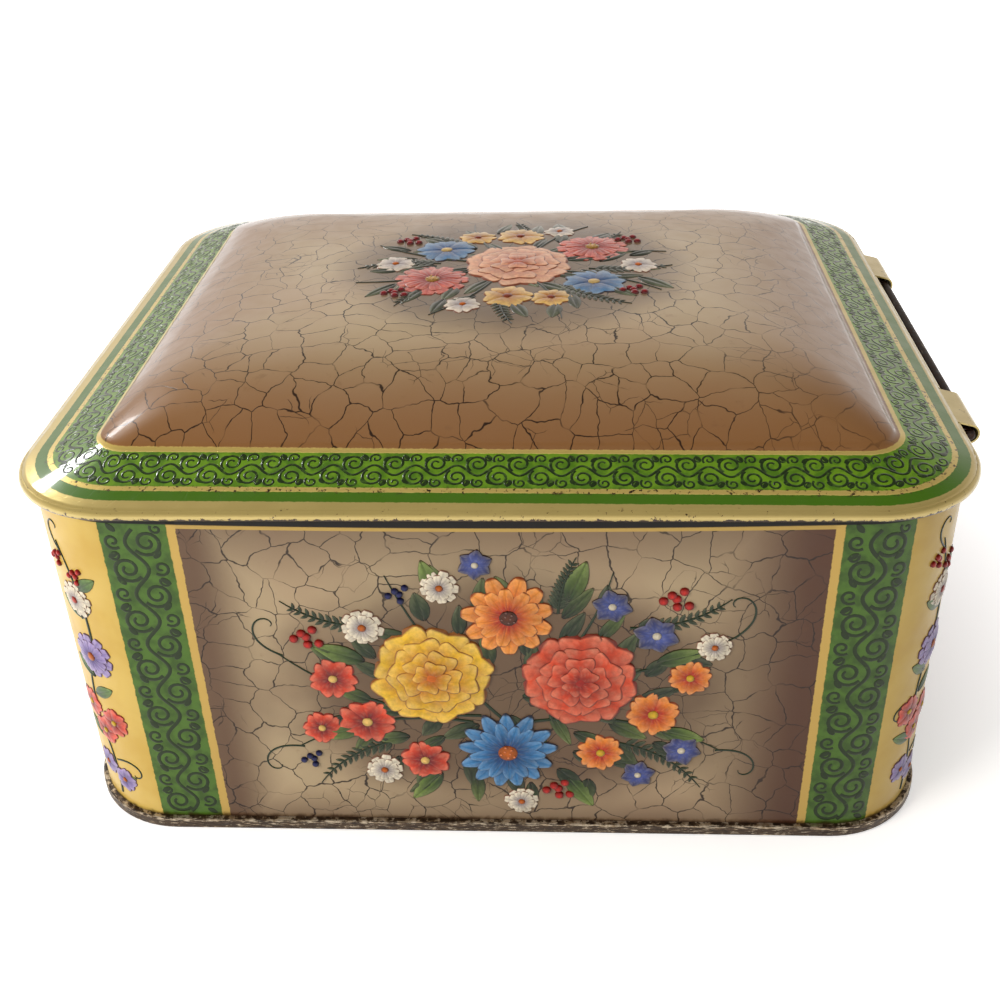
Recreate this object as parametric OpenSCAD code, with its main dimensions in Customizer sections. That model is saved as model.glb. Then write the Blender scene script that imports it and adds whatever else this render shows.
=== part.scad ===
// Hinged tin box for recipe cards: a wrapped body, a double-seamed base, a domed lid
// with a rolled edge, and a wire hinge on the right-hand side (+X).
// Millimetres, +Z up. The origin is on the resting plane, under the middle of the
// footprint, which takes in the hinge.

/* [Body] */
// Width of the body across the walls, hinge side to opening side
body_w = 210; // [150:1:280]
// Depth of the body across the walls, front to back
body_d = 182; // [165:1:240]
// Height of the body from the resting plane to the top of its rolled edge
body_h = 95; // [60:1:160]
// Radius of the body's upright corners, on the outside
corner_r = 24; // [20:0.5:26]
// Thickness of the tinplate, shared by every pressed piece
sheet_t = 0.4; // [0.3:0.05:0.5]
// Radius of the inward roll along the top of the body
top_roll_r = 1.2; // [1:0.05:1.6]
// Slack between two layers of tinplate that are folded or rolled together
fold_gap = 0.05; // [0.03:0.01:0.08]

/* [Side seam] */
// Place of the body's upright seam along the hinge wall, from the middle
side_seam_y = -58; // [-62:1:-50]
// Width of the folded lock of the side seam
side_seam_w = 4.5; // [3:0.25:7]

/* [Base] */
// Height of the double seam that joins the base to the body
seam_h = 3.2; // [2.8:0.1:4.5]
// Height of the base panel's underside above the resting plane
base_recess = 3; // [2.4:0.1:5]
// Distance from the body's outer face to the step pressed into the base panel
base_step_inset = 10; // [6:0.5:14]
// Drop of the base panel inside that step
base_step = 0.7; // [0.5:0.05:1.2]

/* [Lid] */
// How far the lid's edge stands out past the body wall all round
overhang = 3; // [2.95:0.05:4]
// Radius of the rolled bead along the lid's edge
bead_r = 1.3; // [1.1:0.05:1.3]
// Clearance between the closed lid and the body's rolled edge below it
lid_seat_gap = 0.3; // [0.1:0.05:0.5]
// Slope of the lid's border, in degrees from level
border_slope = 15.5; // [10:0.5:20]
// Distance from the lid's edge to the start of the domed panel
border_w = 19.2; // [14:0.2:22]
// Height of the small step between the border and the domed panel
panel_step = 0.6; // [0.5:0.1:1.2]
// Rise of the dome from the panel's edge to its crown
dome_rise = 12.5; // [6:0.5:20]
// How flat the crown is and how round its shoulders are
dome_power = 4; // [2:0.5:6]

/* [Hinge] */
// Distance from the body wall to the middle of the hinge wire
hinge_out = 5.2; // [5:0.1:7]
// Height the hinge wire lies below the top of the body
hinge_drop = 3.5; // [3.3:0.1:4.5]
// Radius of the hinge wire
wire_r = 0.9; // [0.7:0.05:1]
// Running slack between the wire and each piece rolled round it
wire_gap = 0.08; // [0.05:0.01:0.1]
// Outer radius of the lid's two rolled knuckles
lid_knuckle_r = 2.5; // [2.3:0.05:2.6]
// Length of each of the lid's knuckles along the wire
lid_knuckle_len = 17; // [12:0.5:20]
// Length of the hinge plate's knuckle, between the lid's two
plate_knuckle_len = 73.2; // [50:0.2:76]
// Slack between the ends of neighbouring knuckles
knuckle_gap = 0.4; // [0.3:0.05:0.6]
// Height of the hinge plate's leaf down the body wall
leaf_h = 9; // [6:0.5:14]
// Slack between each outer knuckle and the head on the wire's end
head_gap = 0.4; // [0.2:0.05:0.8]
// Thickness of the head flattened on each end of the wire
head_t = 0.5; // [0.4:0.05:0.8]
// Radius of that head
head_r = 1.3; // [1.15:0.05:1.5]

/* [Hidden] */
$fn = 64;

// Layers of the double seam, measured outward from the body's outer face
layer = sheet_t + fold_gap;
seam_out = 3 * layer;
chuck_in = -sheet_t - layer;
seam_edge_r = 0.55;
seam_inner_r = 0.08;
flange_z = layer;
body_hook_top = seam_h - sheet_t - 0.25;
cover_hook_floor = flange_z + layer;

// Where one strip of sheet meets another in the same piece, its end lies this deep inside
bury = 0.04;

// Where each rolled edge stands open, in degrees round its own middle
top_roll_slit = [285, 305];
bead_slit = [110, 165];
plate_slit = [195, 240];
knuckle_core_slit = [100, 140];
knuckle_outer_end = 138;
knuckle_dive = [144, 96];
tab_merge = 6;

// The base panel steps down over a short ramp inside its rim
step_ramp = 1.2;
base_floor_z = base_recess - base_step;
base_floor_inset = base_step_inset + 2 * step_ramp;
floor_lap = 0.2;

// The lid's edge stands outside the body wall, and its border rests over the body's roll
lid_w = body_w + 2 * overhang;
lid_d = body_d + 2 * overhang;
lid_corner_r = corner_r + overhang;
roll_inset = overhang + top_roll_r;
border_rise = tan(border_slope);
border_t = sheet_t / cos(border_slope);
border_up = [sin(border_slope), cos(border_slope)];
seat_rise = (top_roll_r + lid_seat_gap + sheet_t) / cos(border_slope);
border_edge_z = body_h - top_roll_r + seat_rise - roll_inset * border_rise;
bead_z = border_edge_z + bead_r * border_rise - bead_r / cos(border_slope);
function border_z(inset) = border_edge_z + inset * border_rise;

// The dome is a stack of rounded outlines that grow rounder towards the crown
panel_half_w = lid_w / 2 - border_w;
panel_half_d = lid_d / 2 - border_w;
panel_corner_r = lid_corner_r - border_w;
panel_z = border_z(border_w) + panel_step;
dome_steps = 13;
dome_end = 0.97;
arc_steps = 9;
joint_lap = sheet_t / 2;

// The hinge wire stands out past the lid's edge, and the footprint's middle moves with it
hinge_x = body_w / 2 + hinge_out;
hinge_z = body_h - hinge_drop;
footprint_shift = (hinge_x + lid_knuckle_r - lid_w / 2) / 2;
bore_r = wire_r + wire_gap;
inner_turn_r = bore_r + sheet_t;
lid_knuckle_mid = plate_knuckle_len / 2 + knuckle_gap + lid_knuckle_len / 2;
wire_len = plate_knuckle_len + 2 * (knuckle_gap + lid_knuckle_len + head_gap + head_t);

// The lid's tab leaves the border at the bead and meets its knuckle as a tangent
tab_x = lid_w / 2 - bead_r + bead_r * sin(border_slope);
tab_z = bead_z + bead_r * cos(border_slope);
tab_reach = norm([hinge_x - tab_x, hinge_z - tab_z]);
tab_angle = atan2(hinge_z - tab_z, hinge_x - tab_x) + asin(lid_knuckle_r / tab_reach);
tab_len = sqrt(pow(tab_reach, 2) - pow(lid_knuckle_r, 2));
tab_relief = 0.6;
tab_root = 1.2;

// The plate's web leaves the leaf under the wire
web_z = hinge_z - inner_turn_r;
weld_r = 1.4;
weld_depth = 0.12;
weld_count = 4;

// Moves a piece from the body's own middle to the footprint's middle
module placed() {
    translate([-footprint_shift, 0, 0]) children();
}

// A rounded rectangle, centred
module rounded_outline(w, d, r) {
    square([w - 2 * r, d], center = true);
    square([w, d - 2 * r], center = true);
    for (sx = [-1, 1], sy = [-1, 1])
        translate([sx * (w / 2 - r), sy * (d / 2 - r)]) circle(r);
}

// The same from one corner to the opposite one
module rounded_block(x0, z0, x1, z1, r) {
    translate([(x0 + x1) / 2, (z0 + z1) / 2]) rounded_outline(x1 - x0, z1 - z0, r);
}

// Carries a section round a rounded rectangle; its x is the distance outward, its y the height
module around(w, d, r) {
    for (turn = [0, 180]) rotate(turn) {
        translate([w / 2, d / 2 - r, 0]) rotate([90, 0, 0])
            linear_extrude(d - 2 * r) children();
        rotate(90) translate([d / 2, w / 2 - r, 0]) rotate([90, 0, 0])
            linear_extrude(w - 2 * r) children();
        translate([w / 2 - r, d / 2 - r, 0])
            rotate_extrude(angle = 90) translate([r, 0]) children();
        translate([r - w / 2, d / 2 - r, 0]) rotate(90)
            rotate_extrude(angle = 90) translate([r, 0]) children();
    }
}

// Carries a section in the plane of X and Z along the hinge, centred on its place
module along_hinge(mid, len) {
    translate([0, mid + len / 2, 0]) rotate([90, 0, 0]) linear_extrude(len) children();
}

// A wedge of a circle between two angles, for opening a rolled section
module wedge(slit, reach) {
    half = (slit[0] + slit[1]) / 2;
    polygon([
        [0, 0],
        reach * [cos(slit[0]), sin(slit[0])],
        reach * [cos(half), sin(half)],
        reach * [cos(slit[1]), sin(slit[1])],
    ]);
}

// A turn of sheet, open over the slit where its edge ends
module turn_of_sheet(outer_r, slit) {
    difference() {
        circle(outer_r);
        circle(outer_r - sheet_t);
        wedge(slit, 2 * outer_r);
    }
}

// Body wall: rolled inward at the top, hooked outward and up in the double seam
module body_section() {
    translate([-sheet_t, flange_z])
        square([sheet_t, body_h - top_roll_r - flange_z]);
    translate([-top_roll_r, body_h - top_roll_r])
        turn_of_sheet(top_roll_r, top_roll_slit);
    translate([-sheet_t, flange_z]) square([sheet_t + 2 * layer, sheet_t]);
    translate([2 * layer - sheet_t, flange_z])
        square([sheet_t, body_hook_top - flange_z]);
}

module body_shell() {
    color("peru") placed() difference() {
        union() {
            around(body_w, body_d, corner_r) body_section();
            // Folded lock of the side seam, inside the wall
            lock_foot = base_recess + sheet_t + lid_seat_gap;
            lock_head = body_h - 2 * top_roll_r - lid_seat_gap;
            translate([
                body_w / 2 - sheet_t - 2 * layer,
                side_seam_y - side_seam_w / 2,
                lock_foot
            ]) cube([2 * layer + sheet_t / 2, side_seam_w, lock_head - lock_foot]);
        }
        // Fine line that the lock leaves on the outside
        translate([body_w / 2 - sheet_t / 3, side_seam_y, seam_h + layer])
            cube([sheet_t, sheet_t, body_h - top_roll_r - seam_h - 2 * layer]);
    }
}

// Base rim: wraps the body's hook, then dips inside the wall to carry the panel
module base_section() {
    difference() {
        rounded_block(chuck_in, 0, seam_out, seam_h, seam_edge_r);
        rounded_block(chuck_in + sheet_t, sheet_t, seam_out - sheet_t, seam_h - sheet_t,
            seam_inner_r);
        translate([chuck_in - sheet_t, base_recess / 2])
            square([fold_gap - chuck_in + sheet_t, seam_h]);
    }
    translate([fold_gap, cover_hook_floor])
        square([sheet_t, seam_h - sheet_t / 2 - cover_hook_floor]);
    translate([chuck_in, seam_edge_r])
        square([sheet_t, base_recess + sheet_t - seam_edge_r]);
    polygon([
        [chuck_in + sheet_t / 2, base_recess],
        [chuck_in + sheet_t / 2, base_recess + sheet_t],
        [-base_step_inset, base_recess + sheet_t],
        [-base_step_inset - step_ramp, base_floor_z + sheet_t - bury],
        [-base_floor_inset, base_floor_z + sheet_t - bury],
        [-base_floor_inset, base_floor_z + bury],
        [-base_step_inset - step_ramp, base_floor_z + bury],
        [-base_step_inset, base_recess],
    ]);
}

module base_plate() {
    floor_inset = base_step_inset + step_ramp - floor_lap;
    color("silver") placed() {
        around(body_w, body_d, corner_r) base_section();
        translate([0, 0, base_floor_z]) linear_extrude(sheet_t)
            rounded_outline(body_w - 2 * floor_inset, body_d - 2 * floor_inset,
                corner_r - floor_inset);
    }
}

// Leaf on the wall, web under the wire and a turn of sheet round it
module hinge_plate_section() {
    leaf_x = body_w / 2 + fold_gap;
    translate([leaf_x, web_z - leaf_h]) square([sheet_t, leaf_h + sheet_t]);
    translate([leaf_x, web_z]) square([hinge_x - leaf_x, sheet_t]);
    translate([hinge_x, hinge_z]) turn_of_sheet(inner_turn_r, plate_slit);
}

module hinge_plate() {
    weld_pitch = plate_knuckle_len / weld_count;
    color("dimgray") placed() difference() {
        along_hinge(0, plate_knuckle_len) hinge_plate_section();
        for (i = [0 : weld_count - 1])
            translate([
                body_w / 2 + layer - weld_depth,
                (i - (weld_count - 1) / 2) * weld_pitch,
                web_z - leaf_h / 2
            ]) rotate([0, 90, 0]) cylinder(r = weld_r, h = sheet_t);
    }
}

module hinge_pin() {
    color("dimgray") placed() translate([hinge_x, 0, hinge_z]) rotate([90, 0, 0]) {
        cylinder(r = wire_r, h = wire_len - 2 * head_t, center = true);
        for (end = [0, 1]) mirror([0, 0, end])
            translate([0, 0, wire_len / 2 - head_t]) {
                cylinder(r = head_r, h = head_t / 2);
                translate([0, 0, head_t / 2])
                    cylinder(r1 = head_r, r2 = wire_r, h = head_t / 2);
            }
    }
}

// Border from the panel down to the edge, and the bead rolled under it
module lid_border_section() {
    inner = border_w + joint_lap;
    foot = [-bead_r, bead_z];
    polygon([
        foot + (bead_r - bury) * border_up,
        [-inner, border_z(inner)],
        [-inner, border_z(inner) - border_t],
        foot + (bead_r - sheet_t + bury) * border_up,
    ]);
}

module lid_bead_section() {
    translate([-bead_r, bead_z]) turn_of_sheet(bead_r, bead_slit);
}

// Tab that carries on from the border, and the knuckle rolled in two turns from it
module lid_knuckle_section() {
    start = [tab_x, tab_z];
    back = start + tab_root * [-cos(border_slope), sin(border_slope)];
    tab_up = [-sin(tab_angle), cos(tab_angle)];
    end = start + tab_len * [cos(tab_angle), sin(tab_angle)];
    polygon([
        back - 2 * bury * border_up,
        start,
        end,
        end - (sheet_t - bury) * tab_up,
        back - (sheet_t + bury) * border_up,
    ]);
    translate([hinge_x, hinge_z]) {
        turn_of_sheet(lid_knuckle_r, [90 + tab_angle + tab_merge, knuckle_outer_end]);
        turn_of_sheet(inner_turn_r, knuckle_core_slit);
        // The sheet dives from the outer turn to the inner one
        dive_from = (lid_knuckle_r - sheet_t / 2) * [cos(knuckle_dive[0]), sin(knuckle_dive[0])];
        dive_to = (inner_turn_r - sheet_t / 2) * [cos(knuckle_dive[1]), sin(knuckle_dive[1])];
        dive = dive_to - dive_from;
        translate(dive_from) rotate(atan2(dive[1], dive[0]))
            translate([0, -sheet_t / 2]) square([norm(dive), sheet_t]);
    }
}

// Height of the dome over its edge, and one outline of it; t runs from edge to crown
function dome_z(t) = panel_z + dome_rise * (1 - pow(1 - t, dome_power));
function dome_outline(t, z) =
    let (
        shrink = panel_half_d * t,
        a = panel_half_w - shrink,
        b = panel_half_d - shrink,
        round_0 = panel_corner_r / panel_half_d,
        r = b * (round_0 + (1 - round_0) * t)
    )
    [for (corner = [0:3], step = [0:arc_steps])
        let (
            angle = 90 * (corner + step / arc_steps),
            sx = (corner == 0 || corner == 3) ? 1 : -1,
            sy = (corner < 2) ? 1 : -1
        )
        [sx * (a - r) + r * cos(angle), sy * (b - r) + r * sin(angle), z]
    ];

// The pressed dome: outer face, crown, inner face and the skirt down to the border
module dome() {
    skirt_z = border_z(border_w) - border_t / 2;
    wall = sheet_t / panel_half_d;
    ring_ts = [for (i = [0:dome_steps]) dome_end * pow(i / dome_steps, 1.5)];
    inner_ts = [for (t = ring_ts) wall + t * (dome_end - wall) / dome_end];
    rings = concat(
        [dome_outline(0, skirt_z)],
        [for (t = ring_ts) dome_outline(t, dome_z(t))],
        [for (i = [dome_steps : -1 : 0]) dome_outline(inner_ts[i], dome_z(inner_ts[i]) - sheet_t)],
        [dome_outline(wall, skirt_z)]
    );
    n = 4 * (arc_steps + 1);
    last = len(rings) - 1;
    crown = dome_steps + 1;
    polyhedron(
        points = [for (ring = rings) for (p = ring) p],
        faces = concat(
            [for (k = [0 : last - 1]) if (k != crown) for (i = [0 : n - 1]) each
                let (a = k * n + i, b = k * n + (i + 1) % n)
                [[a, a + n, b], [b, a + n, b + n]]],
            [for (i = [0 : n - 1]) each
                let (a = last * n + i, b = last * n + (i + 1) % n, c = i, d = (i + 1) % n)
                [[a, c, b], [b, c, d]]],
            [[for (i = [n - 1 : -1 : 0]) crown * n + i]],
            [[for (i = [0 : n - 1]) (crown + 1) * n + i]]
        )
    );
}

module lid() {
    color("olivedrab") placed() {
        dome();
        around(lid_w, lid_d, lid_corner_r) lid_border_section();
        difference() {
            around(lid_w, lid_d, lid_corner_r) lid_bead_section();
            // The bead stops where the sheet runs on into the tabs
            for (side = [-1, 1])
                translate([
                    lid_w / 2 - 2 * bead_r - sheet_t,
                    side * lid_knuckle_mid - lid_knuckle_len / 2 - tab_relief,
                    bead_z - 2 * bead_r
                ]) cube([4 * bead_r, lid_knuckle_len + 2 * tab_relief, 4 * bead_r]);
        }
        for (side = [-1, 1])
            along_hinge(side * lid_knuckle_mid, lid_knuckle_len) lid_knuckle_section();
    }
}

body_shell();
base_plate();
hinge_plate();
hinge_pin();
lid();
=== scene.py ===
"""Looks of a hinged printed tin box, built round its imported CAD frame.

Lengths in the helpers are millimetres from the body's middle on the resting plane, as in the CAD
source. row() turns them into metres in the shared frame.
"""
import math
import random

import bpy
import numpy as np
from mathutils import Matrix, Vector

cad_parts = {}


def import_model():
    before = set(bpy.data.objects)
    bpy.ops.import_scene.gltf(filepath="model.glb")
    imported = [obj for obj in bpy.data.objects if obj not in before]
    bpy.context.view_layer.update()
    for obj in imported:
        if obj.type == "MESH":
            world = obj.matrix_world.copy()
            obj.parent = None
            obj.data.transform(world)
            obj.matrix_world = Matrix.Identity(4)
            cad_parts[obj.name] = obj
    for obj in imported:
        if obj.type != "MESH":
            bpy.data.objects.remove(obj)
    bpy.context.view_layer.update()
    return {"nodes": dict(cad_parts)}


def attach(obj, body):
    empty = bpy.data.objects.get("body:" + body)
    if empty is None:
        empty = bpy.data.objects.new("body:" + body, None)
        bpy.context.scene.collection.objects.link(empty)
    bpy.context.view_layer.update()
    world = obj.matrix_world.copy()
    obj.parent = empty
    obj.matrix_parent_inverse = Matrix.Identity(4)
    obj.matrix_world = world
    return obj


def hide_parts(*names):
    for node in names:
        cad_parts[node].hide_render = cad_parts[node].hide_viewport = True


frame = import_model()

# Sizes that the CAD source also has
SHIFT = -2.35
HALF_X, HALF_Y, CORNER_R = 81.0, 67.0, 24.0
LID_R, BEAD_R, BEAD_Z, SHEET = 27.0, 1.3, 93.62, 0.4
SLOPE_DEG = 15.5
SLOPE = math.radians(SLOPE_DEG)
BORDER_W, BORDER_EDGE_Z = 19.2, 94.607
PANEL_Z, DOME_RISE, DOME_POWER = 100.53, 12.5, 4
DOME_W, DOME_D, DOME_R = 88.8, 74.8, 7.8
HINGE_X, HINGE_Z, KNUCKLE_R, CORE_R = 110.2, 91.5, 2.5, 1.38
TAB_Y, TAB_LEN, TAB_RELIEF = 45.5, 17.0, 0.6
LID_HALF_X, LID_HALF_Y = HALF_X + LID_R, HALF_Y + LID_R
# The dome is pressed this much lower under its relief, which then ends at the CAD's crown
CROWN_SINK = 1.2
# Print on the body: distances along the wall from the middle of the front or back
PRINT_SHIFT = 3.0
QUARTER = HALF_X + math.pi / 2 * CORNER_R + HALF_Y
EDGE_QUARTER = HALF_X + LID_R * math.pi / 2 + HALF_Y
PANEL_END, LINE_END, BAND_END = 70.3, 72.3, 87.6
SIDE_BAND_END, SIDE_LINE_END, SIDE_PANEL_END = 112.5, 127.5, 129.5
# Print on the lid: the scroll band's middle, inward from the edge, and its half width, the corner
# radius about there, and how the print sits 0.9 mm towards the hinge side
SCROLL_MID, SCROLL_HALF, LID_SCROLL_COUNT = 12.35, 4.8, 76
LEAD = LID_R - 12.4
LID_SHIFT = 0.9 / LID_HALF_X
# The middles of the bunches, and the turn from leaf to leaf that fills a round evenly
LID_BUNCH_X, LID_BUNCH_Y, WALL_BUNCH_Z = 3.0, 3.0, 43.0
GOLDEN_ANGLE = 2.39996


def row(p):
    """Millimetres about the body's middle to metres in the row frame."""
    p = np.array(p, float)
    p[..., 0] += SHIFT
    return p * 0.001


# ---------- shader maths
def srgb(r, g, b):
    """A colour read as 0 to 255 on screen, as linear light."""
    one = lambda c: c / 12.92 if c <= 0.04045 else ((c + 0.055) / 1.055) ** 2.4
    return (one(r / 255), one(g / 255), one(b / 255), 1.0)


def tint(colour, k, lift=0.0):
    """The colour made k times as bright, then lifted."""
    return (*(min(1.0, c * k + lift) for c in colour[:3]), 1.0)


def put(tree, socket, value):
    if isinstance(value, Sock):
        tree.links.new(value.s, socket)
    elif isinstance(value, (tuple, list)) and socket.type == "VECTOR":
        socket.default_value = value[:3]
    else:
        socket.default_value = value


def node(tree, kind, inputs=None, **props):
    n = tree.nodes.new(kind)
    for key, value in props.items():
        setattr(n, key, value)
    for key, value in (inputs or {}).items():
        put(tree, n.inputs[key], value)
    return n


def made(tree, kind, inputs=None, out=0, **props):
    """A new node's output."""
    return Sock(tree, node(tree, kind, inputs, **props).outputs[out])


class Sock:
    """A node socket that takes part in Python arithmetic."""

    def __init__(self, tree, s):
        self.t, self.s = tree, s

    def op(self, name, *rest):
        return made(self.t, "ShaderNodeMath", dict(enumerate((self, *rest))), operation=name)

    def __add__(self, b): return self.op("ADD", b)
    def __sub__(self, b): return self.op("SUBTRACT", b)
    def __mul__(self, b): return self.op("MULTIPLY", b)
    def __truediv__(self, b): return self.op("DIVIDE", b)
    def __rsub__(self, b): return self.op("MULTIPLY_ADD", -1.0, b)
    __radd__, __rmul__ = __add__, __mul__
    def abs(self): return self.op("ABSOLUTE")
    def min(self, b): return self.op("MINIMUM", b)
    def max(self, b): return self.op("MAXIMUM", b)
    def squared(self): return self.op("POWER", 2.0)
    def hypot(self, b): return (self.squared() + b.squared()).op("SQRT")

    def ramp(self, low, high, out_low=0.0, out_high=1.0):
        """Smooth step from out_low to out_high."""
        return made(self.t, "ShaderNodeMapRange", dict(enumerate((self, low, high, out_low, out_high))),
                    interpolation_type="SMOOTHSTEP")

    def fall(self, low, high):
        return self.ramp(low, high, 1.0, 0.0)

    def within(self, low, high, soft=0.12):
        return self.ramp(low - soft, low + soft) * self.fall(high - soft, high + soft)


class Shader:
    """A material with one Principled shader and shorthand for the nodes before it."""

    def __init__(self, name):
        self.m = bpy.data.materials.new(name)
        self.m.use_nodes = True
        self.t = self.m.node_tree
        self.bsdf = self.t.nodes["Principled BSDF"]
        self.object = self.new("ShaderNodeTexCoord", out="Object")

    def new(self, kind, inputs=None, out=0, **props):
        return made(self.t, kind, inputs, out, **props)

    def set(self, name, value):
        names = {i.name.lower(): i for i in self.bsdf.inputs}
        put(self.t, names[name.lower()], value)

    def scaled(self, x=1.0, y=1.0, z=1.0):
        """Object coordinates in millimetres about the body's middle, times a factor for each axis."""
        return self.new("ShaderNodeMapping", {"Vector": self.object, "Location": (-SHIFT * x, 0, 0),
                                              "Scale": (1000 * x, 1000 * y, 1000 * z)})

    def xyz(self, v):
        n = node(self.t, "ShaderNodeSeparateXYZ", {0: v})
        return [Sock(self.t, o) for o in n.outputs]

    def noise(self, v, scale, detail=2.0, rough=0.5, colour=False, offset=None):
        if offset:
            v = self.vec("ADD", v, offset)
        return self.new("ShaderNodeTexNoise", out=1 if colour else 0,
                        inputs={"Vector": v, "Scale": scale, "Detail": detail, "Roughness": rough})

    def vec(self, name, a, b):
        second = "Scale" if name == "SCALE" else 1
        return self.new("ShaderNodeVectorMath", {0: a, second: b}, operation=name)

    def flat(self, x, y):
        return self.new("ShaderNodeCombineXYZ", {0: x, 1: y})

    def voronoi(self, v, scale, feature="DISTANCE_TO_EDGE", out="Distance"):
        return self.new("ShaderNodeTexVoronoi", {"Vector": v, "Scale": scale}, out, feature=feature,
                        voronoi_dimensions="2D")

    def mix(self, fac, a, b, blend="MIX"):
        return self.new("ShaderNodeMix", {0: fac, 6: a, 7: b}, 2, data_type="RGBA", blend_type=blend)

    def attribute(self, name, out="Fac"):
        return self.new("ShaderNodeAttribute", out=out, attribute_name=name)

    def bump(self, height, strength, distance=0.0002, after=None):
        inputs = {"Strength": strength, "Distance": distance, "Height": height}
        return self.new("ShaderNodeBump", {**inputs, "Normal": after} if after else inputs)

    def crackle(self, v):
        """Fine crazing lines on a flat print: their mask, and a tone that differs from flake to flake."""
        wander = self.vec("SUBTRACT", self.noise(v, 0.05, colour=True), (0.5, 0.5, 0.5))
        bent = self.vec("ADD", v, self.vec("SCALE", wander, 11.0))
        jitter = self.vec("SUBTRACT", self.noise(v, 0.26, colour=True), (0.5, 0.5, 0.5))
        bent = self.vec("ADD", bent, self.vec("SCALE", jitter, 2.6))
        wide = self.noise(v, 0.13).ramp(0.35, 0.65, 0.02, 0.032)
        line = self.voronoi(bent, 0.135).fall(wide * 0.35, wide)
        small = self.voronoi(self.vec("ADD", bent, (31.0, 17.0, 0.0)), 0.17)
        some = self.noise(v, 0.05, 1.0, offset=(40.0, 0.0, 0.0)).ramp(0.56, 0.6)
        line = line.max(small.ramp(0.006, 0.022, 0.8, 0.0) * some)
        fade = self.noise(v, 0.14, offset=(0.0, 70.0, 0.0)).ramp(0.34, 0.5, 0.3, 1.0)
        tone = self.voronoi(bent, 0.135, "F1", "Color")
        return line * fade, self.xyz(tone)[0]


GOLD = srgb(196, 172, 96)
CREAM = srgb(182, 162, 98)
GREEN = srgb(58, 96, 0)
SCROLL_GREEN = srgb(92, 130, 8)
INK = srgb(24, 40, 6)
YELLOW = srgb(200, 170, 86)
FLAKE_PALE = srgb(172, 152, 120)
LID_BROWN, BODY_BROWN = srgb(118, 78, 38), srgb(70, 36, 18)
CRACK = srgb(30, 16, 6)
RUST = srgb(48, 26, 14)
LACQUER = srgb(196, 164, 96)
LID_GLOSS = 0.6


def print_finish(sh, colour, metal, wave, line, gloss=0.18):
    """Clear lacquer over print, with the slow waves of thin sheet."""
    sh.set("Base Color", colour)
    sh.set("Metallic", metal)
    sh.set("Roughness", sh.noise(wave, 0.2, 3.0).ramp(0.3, 0.7, 0.3, 0.42))
    sh.set("Coat Weight", gloss)
    sh.set("Specular IOR Level", 0.2)
    sh.set("Coat Roughness", 0.07)
    slow = sh.bump(sh.noise(wave, 0.035, 1.0), 0.25, 0.0006)
    peel = sh.bump(sh.noise(wave, 1.3), 0.05, 0.00004, slow)
    sh.set("Normal", sh.bump(1.0 - line, 0.35, 0.00005, peel))
    sh.set("Coat Normal", peel)


def flakes(sh, v, plane, edge, brown, centre_near, smudge, clear=1.0):
    """Crackled ground: pale in the middle, brown towards its edge and behind the flowers, where the edge mask
    also carries the callers' painted shade.
    """
    line, tone = sh.crackle(plane)
    # clear fades the crazing; the lid uses it as a painted reflected haze towards its far and hinge sides
    line = line * clear
    cloud = sh.noise(v, 0.03, 3.0)
    ground = sh.mix(tone * 0.3, FLAKE_PALE, srgb(150, 132, 100))
    ground = sh.mix(cloud.ramp(0.35, 0.75, 0.0, 0.4), ground, srgb(156, 126, 100))
    ground = sh.mix(edge * 0.95, ground, brown)
    ground = sh.mix(smudge, ground, centre_near)
    stain = sh.noise(v, 0.22, 4.0, 0.6, offset=(0.0, 0.0, 90.0)).ramp(0.62, 0.78, 0.0, 0.3)
    ground = sh.mix(stain, ground, srgb(96, 66, 40))
    return sh.mix(line * 0.95, ground, CRACK), line


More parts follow.
